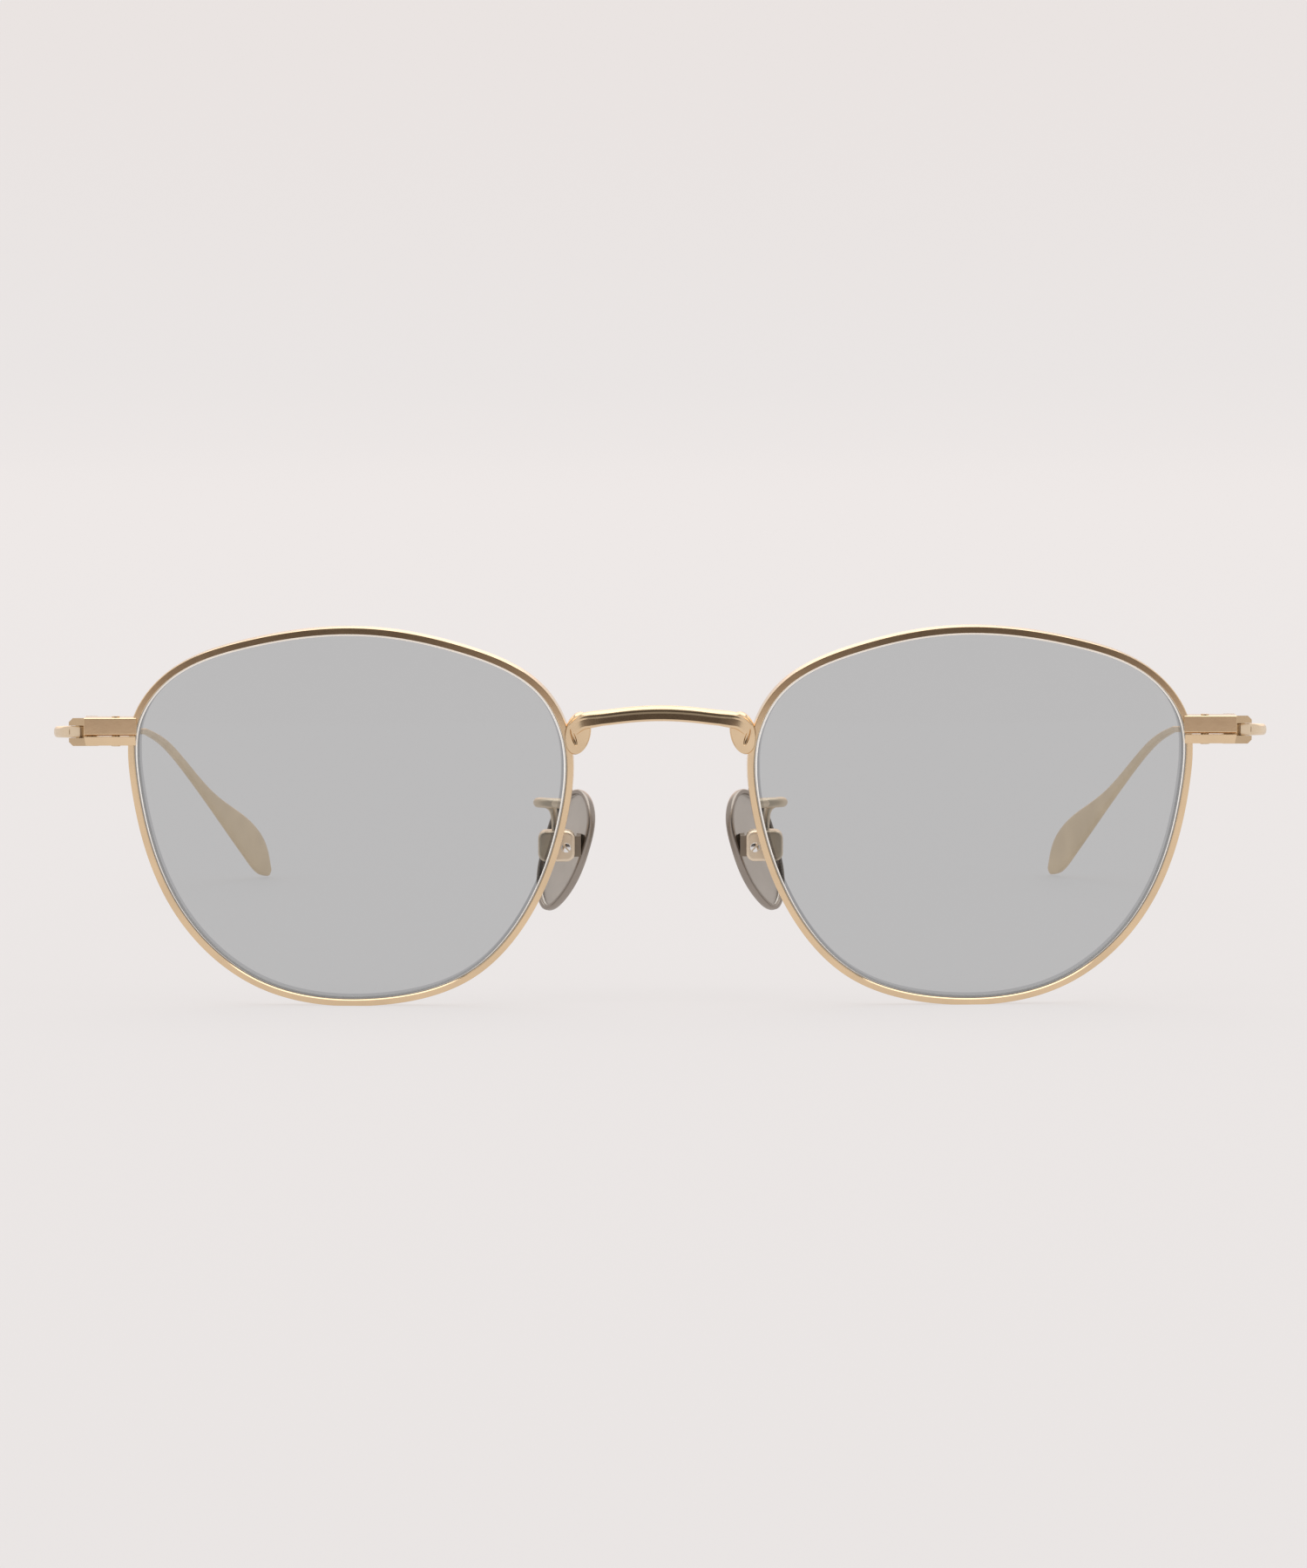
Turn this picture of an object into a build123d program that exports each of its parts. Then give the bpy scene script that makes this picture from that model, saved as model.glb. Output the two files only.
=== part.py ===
"""Metal-rim eyeglasses with folding temples and adjustable nose pads.

Sizes are in millimetres. +Z is up and the glasses face -Y, standing on the lowest
points of the rims and on the tips of the temples, which run back along +Y. The
wearer's right is at -X. The origin is on the table under the middle of the glasses.
Every paired piece is made for the right side and mirrored for the left.
"""

import os
from math import cos, radians, sin

from build123d import *

os.makedirs("parts", exist_ok=True)

# The front: two dished eyes, leaning forward at the top and wrapped back at the sides
eye_spacing = 69.6
eye_height = 21.25
front_y = -71.4
front_lean = radians(3.5)
face_wrap = radians(3.0)
curve_radius = 130.0
eye_depth = 8.0

# The rims and lenses; the outline is the rim's outer edge, with the nasal side at +x
rim_width = 0.9
rim_depth = 1.9
groove_depth = 0.35
groove_width = 1.0
lens_thickness = 1.7
lens_gap = 0.04
saw_cut = 0.12
rim_outline = [
    (24.4, 0.5),
    (24.7, 8.7),
    (22.1, 14.2),
    (12.9, 19.4),
    (2.1, 21.5),
    (-12.3, 19.9),
    (-20.8, 16.2),
    (-24.6, 11.0),
    (-24.8, 3.6),
    (-19.4, -11.8),
    (-11.3, -19.0),
    (2.7, -21.3),
    (13.9, -18.0),
    (19.9, -11.5),
]

# The bridge: an arched bar with a forged foot on each rim, placed from the eyes' plane
bridge_height = 1.85
bridge_depth = 1.7
bridge_bevel = 0.45
bridge_path = [
    (-9.4, -0.3, 31.6),
    (-5.6, -1.2, 32.62),
    (0.0, -1.9, 33.05),
    (5.6, -1.2, 32.62),
    (9.4, -0.3, 31.6),
]
foot_x = -9.25
foot_z = 30.95
foot_width = 2.9
foot_height = 4.9
foot_tilt = 12.0
foot_front = -1.1
foot_back = 1.3
foot_round = 0.35

# The endpieces, on which the rims close
endpiece_outer = -64.7
endpiece_inner = -58.8
endpiece_top = 32.55
endpiece_split = 30.5
closing_bottom = 29.43
endpiece_front = 2.1
endpiece_back = 4.7
endpiece_bevel = 0.25
wall_inner = -63.4
wall_back = 5.5

# The hinges, in the temple's frame: t back along the temple, u outward, a up the pin
pin_x = -65.6
pin_y = 8.4
pin_z = 30.5
temple_slope = radians(4.6)
fork_radius = 1.05
fork_low = -1.6
fork_high = 1.55
fork_gap = 1.4
fork_chamfer = 0.45
fork_reach = 4.0
fork_outline = [(-3.6, -2.2), (-3.6, 1.05), (0.0, 1.05), (0.0, -1.05), (-1.2, -2.2)]
fork_slot = [(-4.5, -0.9), (-4.5, 3.0), (3.0, 3.0), (3.0, -3.0), (-1.2, -3.0), (-1.2, -0.9)]
hinge_shaft_radius = 0.5
hinge_head_radius = 0.78
hinge_head_height = 0.4
running_gap = 0.03

# How far a cutting shape runs past what it cuts
clear = 1.5

# The temples: a knuckle and shoulder, a thin bowed shaft, and a flattened drop tip
temple_thickness = 0.8
temple_reach = 30.0
knuckle_radius = 0.95
knuckle_height = 1.34
shoulder_outline = [(-1.8, -0.14), (-1.8, 0.5), (0.2, 2.0), (2.4, 2.3), (1.6, 1.2), (0.8, 0.0)]
temple_plan = [
    (-0.9, 0.5),
    (0.9, 1.8),
    (4.8, 2.92),
    (12.0, 2.75),
    (45.0, 1.15),
    (86.0, -0.85),
    (101.0, -2.8),
    (119.5, -7.25),
    (139.6, -14.0),
]
neck = 12.0
neck_half_height = 0.5
shaft_end = 88.0
shaft_end_top = 0.42
shaft_end_bottom = -0.5
tip_outline = [
    (88.0, 0.42),
    (101.6, -1.35),
    (112.5, -5.0),
    (120.8, -8.2),
    (128.2, -10.4),
    (134.5, -12.7),
    (138.9, -16.8),
    (136.6, -19.3),
    (132.0, -18.6),
    (126.4, -15.0),
    (119.5, -11.0),
    (111.5, -6.8),
    (100.7, -2.6),
    (88.0, -0.5),
]

# The rim screws, which close the rims
rim_screw_x = -61.2
rim_screw_y = 3.5
rim_shaft_radius = 0.45
rim_head_radius = 0.54
rim_head_height = 0.15
rim_screw_top = 32.65

# The nose pads, with x up each pad and y back across it
pad_centre = (-10.9, 10.3, 16.75)
pad_up = (0.28, 0.08, 0.957)
pad_face = (-0.75, -0.60, 0.27)
pad_thickness = 1.2
pad_recess = 0.45
pad_wall = 0.4
pad_outline = [
    (7.1, 0.0),
    (5.0, 2.9),
    (0.8, 3.6),
    (-4.7, 2.6),
    (-7.1, 0.0),
    (-4.9, -2.6),
    (1.0, -4.0),
    (4.9, -3.2),
]
lug_left = -12.3
lug_right = -8.7
lug_bend = -9.3
lug_front = 5.25
lug_back = 6.1
lug_height = 2.4
lug_reach = 12.0

# The pad boxes, arms and screws
box_left = -13.8
box_right = -9.66
box_bottom = 15.75
box_top = 19.45
box_front = 4.3
box_back = 7.0
box_round = 0.5
slot_left = -12.8
slot_front = 5.15
slot_back = 6.2
slot_top = 19.15
pad_screw_x = -10.64
pad_screw_z = 17.6
pad_shaft_radius = 0.4
pad_head_radius = 0.53
pad_head_height = 0.35
arm_radius = 0.48
arm_start = 1.93
arm_path = [
    (-10.6, 1.5, 22.4),
    (-13.3, 3.0, 22.62),
    (-13.8, 4.9, 22.65),
    (-12.85, 6.2, 22.1),
    (-12.05, 6.15, 21.0),
    (-11.85, 5.6, 19.2),
]


def at_front(x, y, z):
    """A point whose y is counted back from the eyes' plane."""
    return (x, front_y + y, z)


def block(x_low, x_high, y_low, y_high, z_low, z_high, mode=Mode.ADD):
    """A box between two corners, with y counted back from the eyes' plane."""
    with Locations(at_front(x_low, y_low, z_low)):
        Box(
            x_high - x_low,
            y_high - y_low,
            z_high - z_low,
            align=(Align.MIN, Align.MIN, Align.MIN),
            mode=mode,
        )


def disc(plane, radius, low, high, mode=Mode.ADD):
    """A cylinder on a plane's normal, between two heights along it."""
    with Locations(plane.offset(low)):
        Cylinder(radius, high - low, align=(Align.CENTER, Align.CENTER, Align.MIN), mode=mode)


nasal = Vector(cos(face_wrap), -sin(face_wrap), 0)
brow = Vector(0, -sin(front_lean), cos(front_lean))
eye = Plane(
    origin=at_front(-eye_spacing / 2, 0, eye_height), x_dir=nasal, z_dir=nasal.cross(brow)
)
curve_centre = Plane(
    origin=eye.origin - eye.z_dir * curve_radius, x_dir=-eye.z_dir, z_dir=eye.y_dir
)

back = Vector(0, cos(temple_slope), -sin(temple_slope))
pin_axis = Vector(0, sin(temple_slope), cos(temple_slope))
hinge = Plane(origin=at_front(pin_x, pin_y, pin_z), x_dir=back, z_dir=pin_axis)
temple_side = Plane(origin=hinge.origin, x_dir=back, z_dir=(1, 0, 0))


def beside(points, distance, closed=False, count=24):
    """Points along a smooth curve through the given ones, moved to its left side."""
    curve = Spline(*points, periodic=closed, mode=Mode.PRIVATE)
    steps = [step / count for step in range(count if closed else count + 1)]
    return [curve @ step + (curve % step).rotate(Axis.Z, 90) * distance for step in steps]


def dished_disc(inset, thickness):
    """The rim's outline drawn in by inset, as a dish that follows the lens curve."""
    outline = beside(rim_outline, inset, closed=True)
    with BuildPart() as dish:
        with BuildSketch(eye.offset(-eye_depth)):
            with BuildLine():
                Spline(*outline, periodic=True)
            make_face()
        extrude(amount=2 * eye_depth)
        with Locations(curve_centre):
            Sphere(curve_radius + thickness / 2, mode=Mode.INTERSECT)
        with Locations(curve_centre):
            Sphere(curve_radius - thickness / 2, mode=Mode.SUBTRACT)
    return dish.part


rim_blank = dished_disc(0, rim_depth)
rim_bore = dished_disc(rim_width, 2 * rim_depth)
rim_groove = dished_disc(rim_width - groove_depth, groove_width)
lens_body = dished_disc(rim_width + lens_gap, lens_thickness)
lens_tongue = dished_disc(rim_width - groove_depth + lens_gap, groove_width - 2 * lens_gap)

# ---- Rims and lenses ----

with BuildPart() as rim_right:
    add(rim_blank)
    add(rim_bore, mode=Mode.SUBTRACT)
    add(rim_groove, mode=Mode.SUBTRACT)
    cut_low = endpiece_split - saw_cut / 2
    saw_end = endpiece_inner + clear
    block(endpiece_outer, saw_end, 0, eye_depth, cut_low, cut_low + saw_cut, mode=Mode.SUBTRACT)

with BuildPart() as lens_right:
    add(lens_body)
    add(lens_tongue)

# ---- Bridge ----

with BuildPart() as bridge:
    with BuildLine() as arch:
        Spline(*[at_front(*point) for point in bridge_path])
    with BuildSketch(Plane(origin=arch.line @ 0, x_dir=(0, 1, 0), z_dir=arch.line % 0)):
        Rectangle(bridge_depth, bridge_height)
        chamfer(vertices(), length=bridge_bevel)
    sweep()
    for side in (-1, 1):
        foot = at_front(-side * foot_x, foot_back, foot_z)
        with BuildSketch(Plane(origin=foot, x_dir=(1, 0, 0), z_dir=(0, -1, 0))):
            Ellipse(foot_width / 2, foot_height / 2, rotation=side * foot_tilt)
        extrude(amount=foot_back - foot_front)
    add(rim_blank, mode=Mode.SUBTRACT)
    add(rim_blank.mirror(Plane.YZ), mode=Mode.SUBTRACT)
bridge.part.label = "bridge"

# ---- Endpieces, closing blocks and rim screws ----

rim_screw_axis = Plane(origin=at_front(rim_screw_x, rim_screw_y, 0))
through_blocks = (closing_bottom - clear, endpiece_top + clear)

with BuildPart() as endpiece_right:
    bar = (endpiece_outer, endpiece_inner, endpiece_front, endpiece_back)
    block(*bar, endpiece_split + saw_cut / 2, endpiece_top)
    block(endpiece_outer, wall_inner, endpiece_back, wall_back, closing_bottom, endpiece_top)
    front_top = endpiece_right.edges().group_by(Axis.Z)[-1].group_by(Axis.Y)[0]
    chamfer(front_top, length=endpiece_bevel)
    add(rim_blank, mode=Mode.SUBTRACT)
    disc(rim_screw_axis, rim_shaft_radius + running_gap, *through_blocks, mode=Mode.SUBTRACT)

with BuildPart() as closing_block_right:
    block(*bar, closing_bottom, endpiece_split - saw_cut / 2)
    add(rim_blank, mode=Mode.SUBTRACT)
    disc(rim_screw_axis, rim_shaft_radius + running_gap, *through_blocks, mode=Mode.SUBTRACT)

with BuildPart() as rim_screw_right:
    disc(rim_screw_axis, rim_shaft_radius, closing_bottom, rim_screw_top)
    disc(rim_screw_axis, rim_head_radius, closing_bottom - rim_head_height, closing_bottom)

# ---- Hinges ----

with BuildPart() as hinge_fork_right:
    with BuildSketch(hinge.offset(fork_low)):
        with BuildLine():
            Polyline(*fork_outline, close=True)
        make_face()
        Circle(fork_radius)
    extrude(amount=fork_high - fork_low)
    with BuildSketch(Plane(origin=hinge.origin, x_dir=hinge.y_dir, z_dir=back)):
        with BuildLine():
            Polyline(
                (-fork_reach, fork_low),
                (fork_radius - fork_chamfer, fork_low),
                (fork_radius, fork_low + fork_chamfer),
                (fork_radius, fork_high - fork_chamfer),
                (fork_radius - fork_chamfer, fork_high),
                (-fork_reach, fork_high),
                close=True,
            )
        make_face()
    extrude(amount=fork_reach, both=True, mode=Mode.INTERSECT)
    with BuildSketch(hinge.offset(-fork_gap / 2)):
        with BuildLine():
            Polyline(*fork_slot, close=True)
        make_face()
    extrude(amount=fork_gap, mode=Mode.SUBTRACT)
    in_front = (pin_x - fork_reach, endpiece_inner, 0, wall_back)
    block(*in_front, pin_z - fork_reach, pin_z + fork_reach, mode=Mode.SUBTRACT)
    disc(hinge, hinge_shaft_radius + running_gap, -fork_reach, fork_reach, mode=Mode.SUBTRACT)
    head_low = fork_high - hinge_head_height
    disc(hinge, hinge_head_radius + running_gap, head_low, fork_reach, mode=Mode.SUBTRACT)

with BuildPart() as hinge_screw_right:
    disc(hinge, hinge_shaft_radius, fork_low, head_low)
    disc(hinge, hinge_head_radius, head_low, fork_high)

# ---- Temples ----

outer_side = beside(temple_plan, temple_thickness / 2)
inner_side = beside(temple_plan, -temple_thickness / 2)

with BuildPart() as temple_right:
    with BuildSketch(temple_side):
        with BuildLine():
            Polyline(
                (shaft_end, shaft_end_top),
                (neck, neck_half_height),
                (0, knuckle_height / 2),
                (-fork_reach, knuckle_height / 2),
                (-fork_reach, -knuckle_height / 2),
                (0, -knuckle_height / 2),
                (neck, -neck_half_height),
                (shaft_end, shaft_end_bottom),
            )
            Spline(*tip_outline, tangents=[(1, -0.02), (-1, 0.02)])
        make_face()
    extrude(amount=temple_reach, both=True)
    with BuildSketch(hinge.offset(-temple_reach)):
        with BuildLine():
            outer = Spline(*outer_side)
            inner = Spline(*inner_side)
            Line(outer @ 0, inner @ 0)
            Line(outer @ 1, inner @ 1)
        make_face()
        with BuildLine():
            Polyline(*shoulder_outline, close=True)
        make_face()
        Circle(knuckle_radius)
    extrude(amount=2 * temple_reach, mode=Mode.INTERSECT)
    disc(hinge, hinge_shaft_radius + running_gap, -fork_reach, fork_reach, mode=Mode.SUBTRACT)

# ---- Nose pads, boxes, arms and screws ----

pad_plane = Plane(origin=at_front(*pad_centre), x_dir=pad_up, z_dir=pad_face)
pad_screw_axis = Plane(
    origin=at_front(pad_screw_x, box_front, pad_screw_z), x_dir=(1, 0, 0), z_dir=(0, -1, 0)
)
box_depth = box_back - box_front

with BuildPart() as lug:
    lug_low = pad_screw_z - lug_height / 2
    block(lug_left, lug_right, lug_front, lug_back, lug_low, lug_low + lug_height)
    block(lug_bend, lug_right, lug_front, lug_reach, lug_low, lug_low + lug_height)
    split(bisect_by=pad_plane, keep=Keep.TOP)

recess_outline = beside(pad_outline, pad_wall, closed=True)

with BuildPart() as nose_pad_right:
    with BuildSketch(pad_plane.offset(-pad_thickness / 2)):
        with BuildLine():
            Spline(*pad_outline, periodic=True)
        make_face()
    extrude(amount=pad_thickness)
    with BuildSketch(pad_plane.offset(pad_thickness / 2 - pad_recess)):
        with BuildLine():
            Spline(*recess_outline, periodic=True)
        make_face()
    extrude(amount=pad_thickness, mode=Mode.SUBTRACT)
    add(lug.part)
    lug_hole = -(lug_back - box_front) - running_gap
    disc(pad_screw_axis, pad_shaft_radius + running_gap, lug_hole - clear / 4, 0, mode=Mode.SUBTRACT)

with BuildPart() as pad_box_right:
    block(box_left, box_right, box_front, box_back, box_bottom, box_top)
    fillet(pad_box_right.edges().filter_by(Axis.Y), radius=box_round)
    block(slot_left, 0, slot_front, slot_back, 0, slot_top, mode=Mode.SUBTRACT)
    disc(pad_screw_axis, pad_shaft_radius + running_gap, -box_depth, clear, mode=Mode.SUBTRACT)
    disc(pad_screw_axis, pad_head_radius + running_gap, -pad_head_height, clear, mode=Mode.SUBTRACT)

with BuildPart() as pad_screw_right:
    disc(pad_screw_axis, pad_shaft_radius, -box_depth, -pad_head_height)
    disc(pad_screw_axis, pad_head_radius, -pad_head_height, 0)

with BuildPart() as pad_arm_right:
    with BuildLine() as arm_line:
        Spline(*[at_front(*point) for point in arm_path])
    with BuildSketch(Plane(origin=arm_line.line @ 0, z_dir=arm_line.line % 0)):
        Circle(arm_radius)
    sweep()
    block(2 * box_left, 0, 0, arm_start, box_top, 2 * eye_height, mode=Mode.SUBTRACT)
    block(2 * box_left, 0, 0, lug_reach, box_bottom, box_top, mode=Mode.SUBTRACT)

# ---- Labels, mirrored left pieces, and files ----

right_pieces = {
    "rim": rim_right.part,
    "lens": lens_right.part,
    "endpiece": endpiece_right.part,
    "closing_block": closing_block_right.part,
    "rim_screw": rim_screw_right.part,
    "hinge_fork": hinge_fork_right.part,
    "hinge_screw": hinge_screw_right.part,
    "temple": temple_right.part,
    "nose_pad": nose_pad_right.part,
    "pad_box": pad_box_right.part,
    "pad_arm": pad_arm_right.part,
    "pad_screw": pad_screw_right.part,
}

export_step(bridge.part, "parts/bridge.step")
for name, right_piece in right_pieces.items():
    right_piece.label = f"{name}_right"
    export_step(right_piece, f"parts/{name}_right.step")
    with BuildPart() as left_piece:
        add(right_piece.mirror(Plane.YZ))
    left_piece.part.label = f"{name}_left"
    export_step(left_piece.part, f"parts/{name}_left.step")
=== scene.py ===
"""Looks for the metal-rim eyeglasses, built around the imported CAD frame.

Sizes of the glasses are in millimetres, as in the CAD source, and turned into metres as each
mesh is made. Lights, floor and camera are in metres. The right-hand pieces (-X) are built and
the left-hand ones mirrored from them.
"""

from math import cos, pi, radians, sin, tau

import bmesh
import bpy
import numpy as np
from mathutils import Matrix, Vector


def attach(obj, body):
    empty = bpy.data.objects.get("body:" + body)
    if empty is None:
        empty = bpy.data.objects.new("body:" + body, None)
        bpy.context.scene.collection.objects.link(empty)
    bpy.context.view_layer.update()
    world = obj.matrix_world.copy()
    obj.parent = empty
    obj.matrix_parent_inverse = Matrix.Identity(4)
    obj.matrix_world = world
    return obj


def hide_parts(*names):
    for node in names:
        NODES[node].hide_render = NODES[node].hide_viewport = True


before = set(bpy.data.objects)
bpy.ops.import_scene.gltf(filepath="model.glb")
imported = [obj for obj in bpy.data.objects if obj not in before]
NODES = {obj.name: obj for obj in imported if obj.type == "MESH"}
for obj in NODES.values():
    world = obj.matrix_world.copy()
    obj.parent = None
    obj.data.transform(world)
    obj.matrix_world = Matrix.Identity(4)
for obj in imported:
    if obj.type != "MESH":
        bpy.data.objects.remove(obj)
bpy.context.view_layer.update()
MM = 0.001

# ---- Driving dimensions of the glasses, as in the CAD source ----

EYE_SPACING = 69.6
EYE_HEIGHT = 21.25
FRONT_Y = -71.4
FRONT_LEAN = radians(3.5)
FACE_WRAP = radians(3.0)
CURVE_RADIUS = 130.0

RIM_WIDTH = 0.9
RIM_DEPTH = 1.9
GROOVE_DEPTH = 0.35
LENS_THICKNESS = 1.7
SAW_CUT = 0.12
RIM_OUTLINE = [
    (24.4, 0.5),
    (24.7, 8.7),
    (22.1, 14.2),
    (12.9, 19.4),
    (2.1, 21.5),
    (-12.3, 19.9),
    (-20.8, 16.2),
    (-24.6, 11.0),
    (-24.8, 3.6),
    (-19.4, -11.8),
    (-11.3, -19.0),
    (2.7, -21.3),
    (13.9, -18.0),
    (19.9, -11.5),
]
ENDPIECE_SPLIT = 30.5

PIN = (-65.6, 8.4, 30.5)
TEMPLE_SLOPE = radians(4.6)
TEMPLE_THICKNESS = 0.8
KNUCKLE_RADIUS = 0.95
KNUCKLE_HEIGHT = 1.34
TEMPLE_PLAN = [
    (-0.9, 0.5),
    (0.9, 1.8),
    (4.8, 2.92),
    (12.0, 2.75),
    (45.0, 1.15),
    (86.0, -0.85),
    (101.0, -2.8),
    (119.5, -7.25),
    (139.6, -14.0),
]
TIP_TOP = [(88.0, 0.5), (101.6, -1.35), (112.5, -5.0), (120.8, -8.2), (128.2, -10.4)]
TIP_TOP += [(134.5, -12.7), (138.3, -15.8), (139.2, -18.3)]
TIP_BOTTOM = [(88.0, -0.6), (100.7, -2.3), (111.5, -6.0), (119.5, -9.9), (126.4, -13.8)]
TIP_BOTTOM += [(132.0, -17.1), (136.0, -19.0), (138.3, -19.3)]

PAD_CENTRE = (-10.9, 10.3, 16.75)
PAD_UP = (0.28, 0.08, 0.957)
PAD_FACE = (-0.75, -0.60, 0.27)
PAD_THICKNESS = 1.2
PAD_RECESS = 0.45
PAD_OUTLINE = [
    (7.1, 0.0),
    (5.0, 2.9),
    (0.8, 3.6),
    (-4.7, 2.6),
    (-7.1, 0.0),
    (-4.9, -2.6),
    (1.0, -4.0),
    (4.9, -3.2),
]
PAD_SCREW = (-10.64, 4.3, 17.6)
ARM_PATH = [
    (-10.6, 1.5, 22.85),
    (-12.4, 2.3, 22.85),
    (-13.5, 3.4, 22.8),
    (-13.7, 4.9, 22.7),
    (-12.95, 5.95, 22.5),
    (-12.25, 6.2, 21.95),
    (-11.95, 6.05, 20.95),
    (-11.85, 5.7, 19.32),
]
ARM_RADIUS = 0.48

# ---- Curves and meshes ----


def through(points, count, closed=False):
    """Points at even steps along a smooth cubic curve through the given ones."""
    p = np.array(points, float)
    if closed:
        p = np.vstack([p, p[:1]])
    knots = np.concatenate([[0.0], np.cumsum(np.linalg.norm(np.diff(p, axis=0), axis=1))])
    step = np.diff(knots)
    slope = np.diff(p, axis=0) / step[:, None]
    size = len(p)
    grid = np.zeros((size, size))
    right = np.zeros_like(p)
    for i in range(1, size - 1):
        grid[i, i - 1 : i + 2] = step[i - 1], 2 * (step[i - 1] + step[i]), step[i]
        right[i] = 6 * (slope[i] - slope[i - 1])
    grid[0, 0] = grid[-1, -1] = 1
    if closed:
        grid[0, -1] = -1
        grid[-1, :] = 0
        grid[-1, [0, 1]] = 2 * step[0], step[0]
        grid[-1, [-2, -1]] += step[-1], 2 * step[-1]
        right[-1] = 6 * (slope[0] - slope[-1])
    bend = np.linalg.solve(grid, right)
    at = np.linspace(0, knots[-1], 60 * size)
    i = np.clip(np.searchsorted(knots, at) - 1, 0, size - 2)
    a = (knots[i + 1] - at) / step[i]
    b = 1 - a
    square = (step[i] ** 2 / 6)[:, None]
    fine = (
        a[:, None] * p[i]
        + b[:, None] * p[i + 1]
        + ((a**3 - a)[:, None] * bend[i] + (b**3 - b)[:, None] * bend[i + 1]) * square
    )
    run = np.concatenate([[0.0], np.cumsum(np.linalg.norm(np.diff(fine, axis=0), axis=1))])
    wanted = np.linspace(0, run[-1], count + 1 if closed else count)
    if closed:
        wanted = wanted[:-1]
    return np.array([np.interp(wanted, run, fine[:, k]) for k in range(p.shape[1])]).T


def left_of(curve, closed=False):
    """Unit normals on the left side of a flat curve."""
    if closed:
        ahead = np.roll(curve, -1, axis=0) - np.roll(curve, 1, axis=0)
    else:
        ahead = np.gradient(curve, axis=0)
    ahead = ahead / np.linalg.norm(ahead, axis=1)[:, None]
    return np.stack([-ahead[:, 1], ahead[:, 0]], axis=1)


def loft(rings, around=True, along=False, caps=True):
    """Quads over rows of points; around closes each row and along joins the last row to the first."""
    rings = np.array(rings, float)
    rows, width = rings.shape[:2]
    faces = []
    for i in range(rows if along else rows - 1):
        for j in range(width if around else width - 1):
            i2, j2 = (i + 1) % rows, (j + 1) % width
            faces.append((i * width + j, i * width + j2, i2 * width + j2, i2 * width + j))
    if caps and not along:
        faces.append(tuple(reversed(range(width))))
        faces.append(tuple(range((rows - 1) * width, rows * width)))
    return rings.reshape(-1, 3), faces


def mesh_of(name, points, faces, mirrored=False, scale=MM):
    """A mesh in metres from points in millimetres."""
    points = np.array(points, float) * scale
    if mirrored:
        points = points * (-1, 1, 1)
        faces = [tuple(reversed(face)) for face in faces]
    mesh = bpy.data.meshes.new(name)
    mesh.from_pydata(points.tolist(), [], [tuple(int(k) for k in face) for face in faces])
    mesh.validate()
    fixed = bmesh.new()
    fixed.from_mesh(mesh)
    bmesh.ops.recalc_face_normals(fixed, faces=fixed.faces)
    fixed.to_mesh(mesh)
    fixed.free()
    return mesh


def finish_mesh(obj, angle=35):
    """Smooth shading that keeps flat faces flat and edges sharper than the angle sharp."""
    obj.data.shade_smooth()
    obj.data.set_sharp_from_angle(angle=radians(angle))
    flat = obj.modifiers.new("flat_faces", "WEIGHTED_NORMAL")
    flat.keep_sharp = True
    flat.weight = 60


def place(name, mesh, body, node, material):
    """Puts a finished mesh on its body, in the place of its CAD node."""
    obj = bpy.data.objects.new(name, mesh)
    bpy.context.scene.collection.objects.link(obj)
    mesh.materials.append(material)
    finish_mesh(obj)
    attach(obj, body)
    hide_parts(node)
    return obj


SIDES = (("right", False), ("left", True))


def pair(kind, shape, body, material):
    """The right-hand piece and its mirror image; body may hold a place for the side."""
    made = []
    for side, mirrored in SIDES:
        mesh = mesh_of(f"{kind}_{side}_shape", *shape, mirrored=mirrored)
        node = f"{kind}_{side}"
        made.append(place(f"{kind}_{side}_made", mesh, body.format(side), node, material))
    return made


def apply_modifiers(obj):
    """Bakes an object's modifiers into its mesh."""
    graph = bpy.context.evaluated_depsgraph_get()
    mesh = bpy.data.meshes.new_from_object(obj.evaluated_get(graph))
    obj.modifiers.clear()
    obj.data = mesh


def scratch(points, faces):
    """An object used only to build another, still in millimetres."""
    obj = bpy.data.objects.new("scratch", mesh_of("scratch", points, faces, scale=1))
    bpy.context.scene.collection.objects.link(obj)
    return obj


def joined(shapes, operation="UNION"):
    """Points and faces of several closed shapes joined into one, or the later ones cut away."""
    base, *others = [scratch(*shape) for shape in shapes]
    for other in others:
        change = base.modifiers.new("join", "BOOLEAN")
        change.operation = operation
        change.solver = "EXACT"
        change.object = other
    apply_modifiers(base)
    points = np.array([v.co for v in base.data.vertices], float)
    faces = [tuple(face.vertices) for face in base.data.polygons]
    for obj in (base, *others):
        bpy.data.objects.remove(obj)
    return points, faces


def tube(path, radii, sides=28):
    """A round bar along a path, with a radius at each point."""
    path = np.array(path, float)
    ahead = np.gradient(path, axis=0)
    ahead /= np.linalg.norm(ahead, axis=1)[:, None]
    across = np.cross(ahead[0], (0.3, 0.2, 1.0))
    rings = []
    for centre, way, radius in zip(path, ahead, radii):
        across = across - way * (across @ way)
        across = across / np.linalg.norm(across)
        up = np.cross(way, across)
        turn = np.linspace(0, tau, sides, endpoint=False)
        rings.append(centre + radius * (np.outer(np.cos(turn), across) + np.outer(np.sin(turn), up)))
    return loft(rings)


def lathe(origin, axis, profile, sides=40):
    """A turned shape: (radius, height) pairs about an axis, closed at both ends."""
    axis = np.array(axis, float) / np.linalg.norm(axis)
    across = np.cross(axis, (0.3, 1.0, 0.2))
    across /= np.linalg.norm(across)
    up = np.cross(axis, across)
    turn = np.linspace(0, tau, sides, endpoint=False)
    circle = np.outer(np.cos(turn), across) + np.outer(np.sin(turn), up)
    rings = [np.array(origin) + axis * height + circle * radius for radius, height in profile]
    return loft(rings)


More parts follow.
